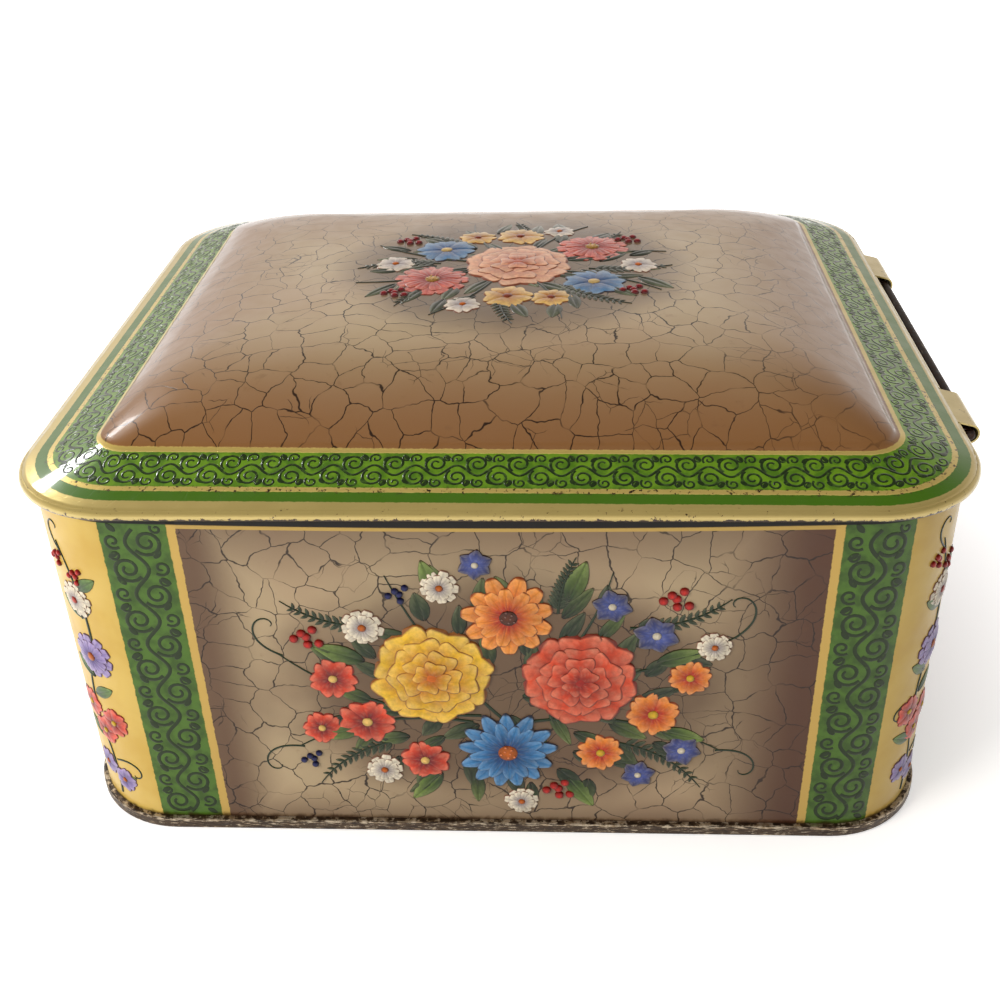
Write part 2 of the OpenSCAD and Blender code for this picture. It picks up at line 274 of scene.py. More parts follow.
def lid_print():
    sh = Shader("litho_lid")
    v = sh.scaled()
    x, y, _ = sh.xyz(v)
    inset = sh.attribute("inset")
    shifted = inset + x * LID_SHIFT
    fray = sh.noise(v, 1.2).ramp(0.0, 1.0, -0.12, 0.12)
    at = shifted + fray
    # Brown towards the far edge, and a painted shade that browns the dome's near front
    far, painted_front_shade = y.ramp(0.0, 70.0, 0.0, 0.8), y.ramp(-82.0, -32.0, 0.95, 0.0)
    edge = inset.fall(18.0, 66.0).max(far).max(painted_front_shade)
    round_flowers = ((x - LID_BUNCH_X) / 47.0).squared() + ((y - LID_BUNCH_Y) / 44.0).squared()
    smudge = (round_flowers + sh.noise(v, 0.05, 3.0) * 0.5).ramp(0.7, 1.45, 0.85, 0.0)
    # The crazing fades towards the far and hinge sides as a painted reflected haze
    colour, line = flakes(sh, v, sh.flat(x, y), edge, LID_BROWN, srgb(84, 64, 46), smudge,
                          y.ramp(0.0, 70.0, 1.0, 0.5).min(x.ramp(40.0, 90.0, 1.0, 0.6)))
    band = sh.mix(sh.noise(v, 0.32, 3.0).ramp(0.38, 0.66), SCROLL_GREEN, srgb(64, 102, 6))
    colour = sh.mix(at.fall(18.4, 18.7), colour, GOLD)
    colour = sh.mix(at.fall(17.3, 17.5), colour, band)
    colour = sh.mix(at.fall(7.2, 7.4), colour, GOLD)
    colour = sh.mix(at.fall(5.9, 6.1), colour, GREEN)
    colour = sh.mix(at.fall(3.1, 3.3), colour, CREAM)
    gold = at.within(17.5, 18.5).max(at.within(6.1, 7.3)).max(at.fall(3.1, 3.3))
    # Scratches along the gold line, bare rusty flecks along the rolled edge, and painted shade that turns the
    # edge's underside dark
    fleck = sh.noise(v, 0.9, 4.0, 0.65)
    worn_line = at.within(5.6, 7.6, 0.5) * fleck.ramp(0.57, 0.63)
    edge_wear_and_shade = (fleck + inset.ramp(-1.9, -0.5, 0.32, 0.0)).ramp(0.64, 0.68)
    edge_wear_and_shade = edge_wear_and_shade * inset.fall(0.6, 2.4)
    wear_and_shade = worn_line.max(edge_wear_and_shade)
    colour = sh.mix(wear_and_shade, colour, RUST)
    print_finish(sh, colour, gold * 0.5, v, line.max(wear_and_shade), LID_GLOSS)
    # The lacquer is rubbed duller on the dome's near left corner
    rubbed = inset.ramp(18.5, 19.5) * x.fall(-72.0, -45.0) * y.fall(-60.0, -35.0)
    sh.set("Coat Weight", LID_GLOSS - rubbed * 0.5)
    return sh.m


def body_print():
    sh = Shader("litho_body")
    v = sh.scaled()
    x, y, z = sh.xyz(v)
    a, b = x.abs(), y.abs()
    past_x, past_y = a - HALF_X, b - HALF_Y
    angle = past_x.max(0.0).op("ARCTAN2", past_y.max(0.001))
    along = a.min(HALF_X) + angle * CORNER_R + (HALF_Y - b.min(HALF_Y)) * past_x.ramp(20.0, 20.5)
    side = (x * y).op("SIGN") * -1.0
    signed = along * side - PRINT_SHIFT
    q = signed.abs()
    q = q.min(2 * QUARTER - q)
    depth = (CORNER_R - past_x.max(0.0).hypot(past_y.max(0.0))).max(0.0)
    fray = sh.noise(v, 0.9).ramp(0.0, 1.0, -0.2, 0.2)
    q = q + fray
    # The panel's brown edge is print; its wider, stronger brown towards the panel's right end is painted shade
    panel_edge_and_shade = q.ramp(signed.ramp(-20.0, 20.0, 53.0, 37.0), PANEL_END - 2)
    panel_edge_and_shade = panel_edge_and_shade * signed.ramp(-20.0, 20.0, 0.88, 1.0) * q.fall(95.0, 96.0)
    side_edge = q.fall(SIDE_PANEL_END - 3, 156.0) * q.ramp(104.0, 105.0)
    top_edge = (z.ramp(70.0, 92.0) * 0.6).max(z.fall(2.0, 16.0) * 0.6)
    edge = panel_edge_and_shade.max(side_edge).max(top_edge)
    fx = (q / 64.0).min((QUARTER - q).abs() / 44.0)
    round_flowers = fx.squared() + ((z - 44.0) / 40.0).squared()
    smudge = (round_flowers + sh.noise(v, 0.05, 3.0) * 0.6).ramp(0.6, 1.3, 0.85, 0.0)
    # The crazing is laid out flat on each wall, and no crazed panel reaches a corner
    side_wall = past_x.ramp(20.0, 20.5)
    across = (x + y.op("SIGN") * 300.0) * (1.0 - side_wall) + (y + x.op("SIGN") * 700.0) * side_wall
    colour, line = flakes(sh, v, sh.flat(across, z), edge, BODY_BROWN, srgb(80, 56, 38), smudge)
    # The frame's top line, and the painted shadow of the gap under the lid's edge above it, bow up a little
    # towards the wall's ends
    bow = (x / 60.0).squared()
    frame_top = (z + bow * -0.55).ramp(88.3, 88.5)
    painted_gap_shadow = (z + bow * -0.65).ramp(89.1, 89.4)
    band = sh.mix(sh.noise(v, 0.32, 3.0).ramp(0.38, 0.66), srgb(68, 102, 26), srgb(48, 76, 14))
    ground = sh.mix(sh.noise(v, 0.08, 3.0).ramp(0.3, 0.7), YELLOW, srgb(190, 156, 68))
    panel = q.fall(PANEL_END - 0.1, PANEL_END + 0.1).max(
        q.ramp(SIDE_PANEL_END - 0.1, SIDE_PANEL_END + 0.1))
    colour = sh.mix(panel * (1.0 - frame_top), srgb(184, 152, 78), colour)
    on_band = q.within(LINE_END, BAND_END).max(q.within(SIDE_BAND_END, SIDE_LINE_END))
    colour = sh.mix(on_band, colour, band)
    corner = q.within(BAND_END, SIDE_BAND_END)
    colour = sh.mix(corner, colour, ground)
    # Above the frame's top line the wall is painted near black as the shadow of the gap under the lid's edge
    colour = sh.mix(painted_gap_shadow, colour, srgb(8, 5, 3))
    # Inside, and over the rolled top, the sheet shows its gold lacquer
    inside = depth.ramp(0.15, 0.25).max(z.ramp(93.9, 94.1))
    scratch = sh.noise(sh.scaled(0.4, 0.4, 0.06), 3.0, 3.0)
    lacquer = sh.mix(scratch.ramp(0.35, 0.7), LACQUER, srgb(160, 130, 76))
    colour = sh.mix(inside, colour, lacquer)
    # Rust creeps up from the seam
    creep = (z + sh.noise(v, 0.5, 4.0, 0.6) * 3.0).fall(4.5, 6.0)
    colour = sh.mix(creep * 0.8, colour, RUST)
    line = line * panel * (1.0 - inside)
    metal = inside.max((1.0 - panel) * (1.0 - on_band) * (1.0 - corner) * 0.4)
    print_finish(sh, colour, metal * 0.55, v, line)
    # The painted gap shadow also loses its coat, so that it stays dark
    sh.set("Coat Weight", 0.18 - painted_gap_shadow * (1.0 - inside) * 0.18)
    return sh.m


def flower_print(name, gloss):
    """Printed and embossed flowers: the colour comes with each point, with fine hatching and specks."""
    sh = Shader(name)
    v = sh.scaled()
    colour = sh.attribute("paint", "Color")
    tone = sh.noise(v, 0.9, 3.0, 0.6)
    colour = sh.mix(tone.ramp(0.3, 0.75, 0.0, 0.3), colour, srgb(60, 30, 16), "MULTIPLY")
    print_finish(sh, colour, 0.0, v, sh.noise(v, 2.5) * 0.3, gloss)
    return sh.m


def lacquer_inside():
    sh = Shader("gold_lacquer")
    v = sh.scaled()
    grain = sh.noise(sh.scaled(0.05, 1.2, 1.0), 1.6, 3.0)
    cloud = sh.noise(v, 0.04, 3.0)
    colour = sh.mix(grain.ramp(0.3, 0.7), LACQUER, srgb(170, 140, 80))
    colour = sh.mix(cloud.ramp(0.5, 0.8, 0.0, 0.5), colour, srgb(140, 108, 62))
    spot = sh.noise(v, 0.6, 4.0, 0.65).ramp(0.66, 0.72)
    colour = sh.mix(spot, colour, RUST)
    sh.set("Base Color", colour)
    sh.set("Metallic", 0.6 - spot * 0.6)
    sh.set("Roughness", grain.ramp(0.3, 0.7, 0.28, 0.42).max(spot * 0.7))
    slow = sh.bump(sh.noise(v, 0.035, 1.0), 0.25, 0.0006)
    sh.set("Normal", sh.bump(grain, 0.12, 0.00005, slow))
    return sh.m


def worn_seam():
    """Tinplate base: rubbed brown with bright scratches on the seam, lacquer inside, stained beneath."""
    sh = Shader("worn_tinplate")
    v = sh.scaled()
    x, y, z = sh.xyz(v)
    grain = sh.noise(v, 0.5, 5.0, 0.65)
    streak = sh.noise(sh.scaled(0.3, 0.3, 3.0), 1.5, 5.0, 0.65)
    past = (x.abs() - HALF_X).max(0.0).hypot((y.abs() - HALF_Y).max(0.0))
    outside = past.ramp(CORNER_R - 1.2, CORNER_R - 0.8)
    crest = z.within(2.5, 3.3, 0.2)
    rub = (streak + crest * 0.1 + (grain - 0.5) * 0.35).ramp(0.56, 0.66)
    brown = sh.mix(streak.ramp(0.35, 0.7), srgb(34, 22, 12), srgb(88, 66, 42))
    bright = sh.mix(grain.ramp(0.4, 0.6), srgb(168, 148, 120), srgb(214, 200, 176))
    seam = sh.mix(rub * 0.9, brown, bright)
    tin = sh.mix(grain.ramp(0.35, 0.7), srgb(170, 166, 154), srgb(132, 124, 108))
    spots = sh.noise(v, 0.25, 4.0, 0.6, offset=(5.0, 50.0, 0.0)).ramp(0.6, 0.7)
    tin = sh.mix(spots * 0.8, tin, srgb(84, 48, 26))
    colour = sh.mix(outside, tin, seam)
    gold = z.ramp(3.1, 3.3) * (1.0 - outside)
    colour = sh.mix(gold * 0.8, colour, srgb(176, 146, 86))
    sh.set("Base Color", colour)
    sh.set("Metallic", (0.35 + rub * 0.5).max(0.65 - outside) - spots * 0.5)
    sh.set("Roughness", grain.ramp(0.3, 0.7, 0.34, 0.62))
    sh.set("Normal", sh.bump(grain, 0.4, 0.00012, sh.bump(streak, 0.2, 0.0001)))
    return sh.m


def dark_steel():
    sh = Shader("dark_steel")
    v = sh.scaled()
    grain = sh.noise(v, 0.7, 5.0, 0.65)
    streak = sh.noise(sh.scaled(1.0, 0.1, 1.0), 2.0, 3.0)
    colour = sh.mix(grain.ramp(0.4, 0.7), srgb(26, 18, 14), srgb(70, 44, 28))
    colour = sh.mix(streak.ramp(0.6, 0.75, 0.0, 0.5), colour, srgb(120, 108, 94))
    sh.set("Base Color", colour)
    sh.set("Metallic", 0.7)
    sh.set("Roughness", grain.ramp(0.3, 0.7, 0.38, 0.66))
    sh.set("Normal", sh.bump(grain, 0.4, 0.0001))
    return sh.m


def ink_print(name, gloss, breaks):
    """The scrolls' dark green lines, a little raised, with worn breaks of paler green."""
    sh = Shader(name)
    v = sh.scaled()
    colour = sh.mix(sh.noise(v, 0.9, 3.0).ramp(breaks, breaks + 0.18), INK, srgb(50, 76, 18))
    print_finish(sh, colour, 0.0, v, sh.noise(v, 3.0, 1.0) * 0.2, gloss)
    return sh.m


# ---------- meshes
def place_object(name, data):
    o = bpy.data.objects.new(name, data)
    bpy.context.scene.collection.objects.link(o)
    return o


def mesh_object(name, verts, faces, material, colours=None, inset=None):
    me = bpy.data.meshes.new(name)
    me.from_pydata([tuple(p) for p in verts], [], [tuple(int(i) for i in f) for f in faces])
    if colours is not None:
        layer = me.color_attributes.new("paint", "FLOAT_COLOR", "POINT")
        layer.data.foreach_set("color", np.asarray(colours, np.float32).ravel())
    if inset is not None:
        layer = me.attributes.new("inset", "FLOAT", "POINT")
        layer.data.foreach_set("value", np.asarray(inset, np.float32))
    for m in material if isinstance(material, list) else [material]:
        me.materials.append(m)
    me.polygons.foreach_set("use_smooth", [True] * len(me.polygons))
    me.update()
    return place_object(name, me)


def quadrant(t, half_x, half_y, r, lead):
    """Point and outward normal on a quarter of a rounded rectangle, from the front's middle to the
    right side's middle. Lead is the corner's radius where t is measured."""
    arc = lead * math.pi / 2
    phi = np.clip((t - half_x) / lead, 0, math.pi / 2)
    past = np.clip(t - half_x - arc, 0, None)
    x = np.minimum(t, half_x) + r * np.sin(phi)
    y = -half_y - r * np.cos(phi) + past
    return x, y, np.sin(phi), -np.cos(phi)


def perimeter(s, half_x, half_y, r, lead):
    """The same all the way round, s counted from the front's middle towards the hinge side."""
    quarter = half_x + lead * math.pi / 2 + half_y
    s = np.mod(s, 4 * quarter)
    k = np.floor(s / quarter).astype(int)
    t = s - k * quarter
    t = np.where(k % 2 == 1, quarter - t, t)
    x, y, nx, ny = quadrant(t, half_x, half_y, r, lead)
    sx = np.where(k >= 2, -1.0, 1.0)
    sy = np.where((k == 1) | (k == 2), -1.0, 1.0)
    return x * sx, y * sy, nx * sx, ny * sy


def on_wall(s, z, h):
    """A point h out from the body wall, s along it."""
    x, y, nx, ny = perimeter(s, HALF_X, HALF_Y, CORNER_R, CORNER_R)
    return np.stack([x + nx * h, y + ny * h, z], -1)


def on_border(s, inset, h):
    """A point h above the lid's border, s along it and inset from its edge."""
    x, y, nx, ny = perimeter(s, HALF_X, HALF_Y, 0.0, LEAD)
    r = LID_R - inset
    z = BORDER_EDGE_Z + inset * math.tan(SLOPE) + h
    return np.stack([x + nx * r, y + ny * r, z], -1)


def dome_height(t):
    z = PANEL_Z + DOME_RISE * (1 - (1 - t) ** DOME_POWER)
    s = np.clip((t - 0.1) / 0.4, 0, 1)
    return z - CROWN_SINK * s * s * (3 - 2 * s)


def dome_outline(t):
    """Half width, half depth and corner radius of the dome's outline at t."""
    a, b = DOME_W - DOME_D * t, DOME_D * (1 - t)
    return a, b, b * (DOME_R / DOME_D + (1 - DOME_R / DOME_D) * t)


def dome_t(x, y):
    """How far a point of the dome is from its edge, 0, to its crown, 1."""
    x, y = np.abs(x), np.abs(y)
    lo, hi = np.zeros_like(x), np.ones_like(x)
    for _ in range(36):
        t = (lo + hi) / 2
        a, b, r = dome_outline(t)
        qx, qy = x - (a - r), y - (b - r)
        outside = np.hypot(np.maximum(qx, 0), np.maximum(qy, 0)) - r
        outside = outside + np.minimum(np.maximum(qx, qy), 0)
        lo, hi = np.where(outside < 0, t, lo), np.where(outside < 0, hi, t)
    return (lo + hi) / 2


def on_print(s, inset, h):
    """As on_border, with inset measured on the shifted print."""
    x, _, nx, _ = perimeter(s, HALF_X, HALF_Y, 0.0, LEAD)
    return on_border(s, inset - LID_SHIFT * (x + nx * LID_R), h)


def on_dome(x, y, h):
    return np.stack([x, y, dome_height(dome_t(x, y)) + h], -1)


# ---------- the lid
def ring(a, b, r, z, in_arc=14, in_sides=(26, 22)):
    """One closed outline as points, the same count for every ring, from the front's left end."""
    pts = []
    corners = [(-1, -1), (1, -1), (1, 1), (-1, 1)]
    for k, (sx, sy) in enumerate(corners):
        nx, ny = corners[(k + 1) % 4]
        start = math.radians(180 + 90 * k)
        end = start + math.pi / 2
        cx, cy = sx * (a - r), sy * (b - r)
        for i in range(in_arc):
            ang = start + math.pi / 2 * i / in_arc
            pts.append((cx + r * math.cos(ang), cy + r * math.sin(ang), z))
        p0 = np.array([cx + r * math.cos(end), cy + r * math.sin(end)])
        p1 = np.array([nx * (a - r) + r * math.cos(end), ny * (b - r) + r * math.sin(end)])
        n = in_sides[k % 2]
        pts += [(*(p0 + (p1 - p0) * (i / n)), z) for i in range(n)]
    return pts


def lid_plate(printed, inside):
    """Border and dome as one sheet, from the rolled edge's tangent to the crown and back beneath."""
    rings, insets = [], []

    def add(inset, z):
        rings.append(ring(LID_HALF_X - inset, LID_HALF_Y - inset, LID_R - inset, z))
        insets.append(inset)

    tangent = BEAD_R - BEAD_R * math.sin(SLOPE)
    border = np.concatenate([[tangent], np.arange(2.0, BORDER_W - 1.2, 0.8), [BORDER_W - 1.0]])
    for i in border:
        add(i, BORDER_EDGE_Z + i * math.tan(SLOPE))
    # A soft step up from the border to the dome's foot: how far along, and the share of the rise
    rise = PANEL_Z - BORDER_EDGE_Z - BORDER_W * math.tan(SLOPE)
    for past, share in ((-0.7, 0.08), (-0.4, 0.28), (-0.1, 0.6), (0.2, 0.9)):
        i = BORDER_W + past
        add(i, BORDER_EDGE_Z + i * math.tan(SLOPE) + share * rise)
    for t in 0.985 * (np.arange(1, 45) / 44) ** 1.4:
        rings.append(ring(*dome_outline(t), dome_height(t)))
        insets.append(BORDER_W + DOME_D * t)
    outer = len(rings)
    n = len(rings[0])
    for k in range(outer - 1, -1, -1):
        top = np.array(rings[k])
        top[:, 2] -= SHEET * (1.0 if k > len(border) else 1.04)
        rings.append([tuple(p) for p in top])
        insets.append(insets[k])
    verts = [p for r in rings for p in r]
    inset = [i for i in insets for _ in range(n)]
    faces, mats = [], []
    for k in range(len(rings)):
        m = (k + 1) % len(rings)
        if k == outer - 1:
            continue  # two flat crowns close the sheet here
        for i in range(n):
            j = (i + 1) % n
            faces.append((k * n + i, k * n + j, m * n + j, m * n + i))
            mats.append(0 if k < outer - 1 else 1)
    faces.append(tuple((outer - 1) * n + i for i in range(n)))
    faces.append(tuple(outer * n + i for i in range(n - 1, -1, -1)))
    mats += [0, 1]
    o = mesh_object("lid_plate", row(verts), faces, [printed, inside], inset=inset)
    o.data.polygons.foreach_set("material_index", mats)
    return o


def swept_sheet(name, path, stations, materials, insets):
    """A strip of sheet whose centre line follows path in section, carried along stations.

    path holds (out, z) and stations hold (x, y, normal x, normal y), out measured along the normal.
    """
    path = np.array(path)
    d = np.gradient(path, axis=0)
    d /= np.linalg.norm(d, axis=1)[:, None]
    side = np.stack([-d[:, 1], d[:, 0]], 1) * SHEET / 2
    loop = np.concatenate([path + side, (path - side)[::-1]])
    m = len(loop)
    verts = [(x + nx * o, y + ny * o, z) for x, y, nx, ny in stations for o, z in loop]
    count = len(stations)
    faces = []
    for k in range(count - 1):
        a, b = k * m, (k + 1) * m
        for i in range(m):
            j = (i + 1) % m
            faces.append((a + i, b + i, b + j, a + j))
    half = len(path)
    for k, flip in ((0, False), (count - 1, True)):
        for i in range(half - 1):
            quad = (k * m + i, k * m + i + 1, k * m + m - 2 - i, k * m + m - 1 - i)
            faces.append(quad[::-1] if flip else quad)
    inset = list(np.concatenate([insets, insets[::-1]])) * count
    o = mesh_object(name, row(verts), faces, materials, inset=inset)
    o.data.set_sharp_from_angle(angle=math.radians(50))
    return o


def bead_pieces(material):
    """The rolled edge of the lid, which stops on both sides of each hinge tab."""
    mid = BEAD_R - SHEET / 2
    angles = np.radians(np.linspace(165, 360 + 90 - SLOPE_DEG, 26))
    path = [(-BEAD_R + mid * math.cos(a), BEAD_Z + mid * math.sin(a)) for a in angles]
    reach = (angles[-1] - angles) * BEAD_R
    insets = BEAD_R - BEAD_R * math.sin(SLOPE) - reach
    gap = TAB_LEN / 2 + TAB_RELIEF
    # The edge between the tabs, then the rest of it, counted from the front's middle
    runs = [(EDGE_QUARTER - TAB_Y + gap, EDGE_QUARTER + TAB_Y - gap),
            (EDGE_QUARTER + TAB_Y + gap, 5 * EDGE_QUARTER - TAB_Y - gap)]
    out = []
    for k, (s0, s1) in enumerate(runs):
        s = np.linspace(s0, s1, max(8, int((s1 - s0) / 1.6)))
        stations = list(zip(*perimeter(s, HALF_X, HALF_Y, LID_R, LID_R)))
        out.append(swept_sheet(f"lid_edge_{k}", path, stations, material, insets))
    return out


def knuckle_pieces(material):
    """The two tabs, each rolled round the wire in two turns."""
    up = np.array([math.sin(SLOPE), math.cos(SLOPE)])
    start = np.array([LID_HALF_X - BEAD_R, BEAD_Z]) + up * BEAD_R
    hinge = np.array([HINGE_X, HINGE_Z])
    to = hinge - start
    reach = np.linalg.norm(to)
    tab = math.atan2(to[1], to[0]) + math.asin(KNUCKLE_R / reach)
    length = math.sqrt(reach ** 2 - KNUCKLE_R ** 2)
    across = np.array([-math.sin(tab), math.cos(tab)])
    path = [start - 0.9 * np.array([math.cos(SLOPE), -math.sin(SLOPE)]) - up * SHEET * 0.6]
    along = np.array([math.cos(tab), math.sin(tab)])
    path += [start + f * length * along - across * SHEET / 2 for f in (0.1, 0.5, 0.9)]
    # The outer turn, then the inner one after the step down between them
    for r, first, last, n in ((KNUCKLE_R, tab + math.pi / 2, math.radians(-216), 36),
                              (CORE_R, math.radians(-264), math.radians(-264 - 316), 34)):
        for a in np.linspace(first, last, n):
            path.append(hinge + (r - SHEET / 2) * np.array([math.cos(a), math.sin(a)]))
    path = np.array(path)
    path[:, 0] -= LID_HALF_X
    # The tab's shown stretch keeps the edge's cream, and what is rolled further in is painted dark as the
    # shade inside the roll
    shown = 24
    insets = np.where(np.arange(len(path)) < shown, 0.6, -6.0)
    out = []
    for k, y0 in enumerate((-TAB_Y, TAB_Y)):
        ys = np.linspace(y0 - TAB_LEN / 2, y0 + TAB_LEN / 2, 9)
        stations = [(LID_HALF_X, y, 1.0, 0.0) for y in ys]
        out.append(swept_sheet(f"lid_tab_{k}", path, stations, material, insets))
    return out


# ---------- relief and ribbons
def polar(at, q, a):
    """The point q away from at in the direction a."""
    return at[0] + q * math.cos(a), at[1] + q * math.sin(a)


class Relief:
    """Gathers raised patches, each with a colour at every point, on one surface."""

    def __init__(self, place, seed):
        self.place, self.rng = place, random.Random(seed)
        self.v, self.f, self.c, self.n = [], [], [], 0

    def patch(self, u, v, h, colour):
        rows, cols = u.shape
        p = self.place(u.ravel(), v.ravel(), h.ravel())
        self.v.append(p)
        self.c.append(colour.reshape(-1, 4))
        i = np.arange(rows - 1)[:, None] * cols + np.arange(cols - 1)[None, :] + self.n
        self.f.append(np.stack([i, i + 1, i + cols + 1, i + cols], -1).reshape(-1, 4))
        self.n += rows * cols

    def petal(self, at, turn, length, width, base, rise, inner, outer, blunt=0.35, root=0.7,
              notch=0.0, crease=0.0, veins=0.2, lip=0.25, cup=0.0):
        """A pointed or round petal from its root at to its tip, with streaks and a dark outline."""
        w = np.array([-1, -0.96, -0.86, -0.6, -0.33, -0.14, 0, 0.14, 0.33, 0.6, 0.86, 0.96, 1])[None, :]
        s = np.array([0, 0.03, 0.12, 0.25, 0.4, 0.55, 0.7, 0.82, 0.91, 0.965, 1])[:, None]
        peak = root / (root + blunt)
        shape = (s ** root * (1 - s) ** blunt) / (peak ** root * (1 - peak) ** blunt)
        half = width / 2 * shape + 0 * w
        reach = length * (1 - notch * (1 - np.abs(w)) ** 2 * s ** 3)
        px, py = s * reach, w * half
        c, d = math.cos(turn), math.sin(turn)
        u = at[0] + px * c - py * d
        v = at[1] + px * d + py * c
        body = (1 - np.abs(w) ** 3) * np.sin(np.pi * (0.15 + 0.8 * s)) + 0 * w
        h = base + rise * (body + cup * s ** 2) - crease * np.exp(-(w / 0.16) ** 2) * (1 - s * 0.5)
        edge = (np.abs(w) > 0.99) | (s > 0.99) | (s < 0.01)
        h = np.where(edge, -0.25, h)
        jitter = self.rng.uniform(0.88, 1.1)
        streak = 0.5 + 0.5 * np.cos(w * 19 + jitter * 30)
        k = np.clip(s * 1.25 - 0.32 * streak * (1.1 - s), 0, 1)[..., None]
        col = np.array(inner) * (1 - k) + np.array(outer) * k
        shade = 1 - veins * (0.5 + 0.5 * np.cos(w * 19)) * (1 - s) * (1 - np.abs(w) ** 2)
        shade = shade * (1 - 0.3 * np.exp(-(w / 0.12) ** 2) * min(1, crease * 6))
        light = lip * np.clip(s * 1.2 - 0.4, 0, 1) * np.clip(np.abs(w) * 1.3 + s - 0.8, 0, 1)
        light = light + 0.3 * lip * (np.sin(s * 9 + w * 7 + jitter * 40) > 0.75)
        col = col * (shade * jitter)[..., None]
        col = col + (np.array([1, 0.9, 0.6, 1]) - col) * light[..., None] * 0.6
        dark = ((np.abs(w) > 0.95) | (s > 0.96) | (s < 0.04))[..., None]
        col = np.where(dark, col * np.array([0.28, 0.14, 0.12, 1]), col)
        col[..., 3] = 1
        self.patch(u, v, h, col)

    def ring_of(self, at, count, start, r0, turn=0.0, **kw):
        for i in range(count):
            a = start + 2 * math.pi * i / count + self.rng.uniform(-0.05, 0.05)
            scale = self.rng.uniform(0.92, 1.06)
            vary = {**kw, "length": kw["length"] * scale, "base": kw["base"] + 0.05 * (i % 2)}
            self.petal(polar(at, r0, a), a + turn, **vary)

    def button(self, at, r, base, rise, colour, edge, seeds=0):
        rr = np.array([0, 0.3, 0.6, 0.85, 0.97, 1])[:, None]
        aa = np.linspace(0, 2 * math.pi, 19)[None, :]
        u, v = at[0] + r * rr * np.cos(aa), at[1] + r * rr * np.sin(aa)
        h = base + rise * np.sqrt(np.clip(1 - rr ** 2, 0, 1)) + 0 * aa
        h = np.where(rr > 0.99, -0.25, h)
        k = (rr + 0 * aa)[..., None]
        col = np.array(colour) * (1 - k) + np.array(edge) * k
        self.patch(u, v, h, col)
        for i in range(seeds):
            a, q = 2.4 * i, r * 0.85 * math.sqrt((i + 0.5) / seeds)
            self.button(polar(at, q, a), r * 0.16, base + rise * 0.7, 0.2, tint(colour, 1.5, 0.1), edge)

    def ribbon(self, pts, width, colour, height=0.22, tip=0.25):
        pts = np.array(pts, float)
        d = np.gradient(pts, axis=0)
        d /= np.linalg.norm(d, axis=1)[:, None] + 1e-9
        n = np.stack([-d[:, 1], d[:, 0]], 1)
        k = np.linspace(0, 1, len(pts))
        wide = width / 2 * (1 - (1 - tip) * k ** 2)
        w = np.array([-1, -0.7, 0.7, 1.0])[None, :]
        u = pts[:, 0:1] + n[:, 0:1] * wide[:, None] * w
        v = pts[:, 1:2] + n[:, 1:2] * wide[:, None] * w
        h = np.where(np.abs(w) > 0.9, -0.04, height) + 0 * u
        col = np.ones(u.shape + (1,)) * np.array(colour)
        self.patch(u, v, h, col)

    def leaf(self, at, turn, length, width, base=0.1, dark=srgb(34, 58, 20), pale=srgb(104, 128, 50)):
        self.petal(at, turn, length, width, base, 0.35, dark, pale, blunt=1.0, root=0.8, crease=0.28,
                   veins=0.45, lip=0.15)

    def stem(self, a, b, bend, width, colour):
        a, b = np.array(a, float), np.array(b, float)
        side = np.array([-(b - a)[1], (b - a)[0]]) * bend
        k = np.linspace(0, 1, 14)[:, None]
        pts = a * (1 - k) ** 2 + 2 * k * (1 - k) * ((a + b) / 2 + side) + b * k ** 2
        self.ribbon(pts, width, colour)
        return pts

    def fern(self, a, b, bend, colour, leaves=11, size=3.2):
        pts = self.stem(a, b, bend, 0.7, colour)
        d = np.gradient(pts, axis=0)
        for i in range(leaves):
            j = 1 + int(i * (len(pts) - 2) / leaves)
            ang = math.atan2(d[j][1], d[j][0])
            long = size * (1.1 - 0.6 * i / leaves)
            for s in (-1, 1):
                self.petal(pts[j], ang + s * 0.85, long, long * 0.42, 0.05, 0.2, colour, tint(colour, 1.3),
                           blunt=0.9)

    def curl(self, at, turn, size, colour, width=0.55, hand=1):
        """A tendril that ends in a spiral."""
        k = np.linspace(0, 1, 30)
        a = turn + hand * 5.2 * k ** 1.6
        step = size * (1 - 0.85 * k) / 9
        # Two steps back, so that the curl starts inside its stem's end
        x = at[0] + np.cumsum(np.cos(a) * step) - 2 * math.cos(turn) * step[0]
        y = at[1] + np.cumsum(np.sin(a) * step) - 2 * math.sin(turn) * step[0]
        self.ribbon(np.stack([x, y], 1), width, colour, 0.15)

    # Flowers
    def rose(self, at, r, deep, pale, base=0.2):
        turn = self.rng.uniform(0, 6)
        # Petals in each ring, then its radius and their length and width as shares of r
        rings = ((8, 0.32, 0.72, 0.82), (7, 0.18, 0.62, 0.7), (5, 0.08, 0.48, 0.56), (4, 0.02, 0.32, 0.4))
        for k, (n, r0, ln, wd) in enumerate(rings):
            f = k / 3
            tone = tint(deep, 0.75 + 0.1 * f)
            edge = tuple(p * (1 - 0.28 * f) + d * 0.28 * f for p, d in zip(pale[:3], deep[:3])) + (1,)
            self.ring_of(at, n, turn + k * 0.5, r0 * r, length=ln * r, width=wd * r, base=base + 0.24 * k,
                         rise=0.3, inner=tone, outer=edge, blunt=0.22, root=0.55, notch=0.1, veins=0.3,
                         lip=0.32, turn=0.25, cup=0.25)
        self.button(at, 0.1 * r, base + 0.8, 0.25, deep, deep)

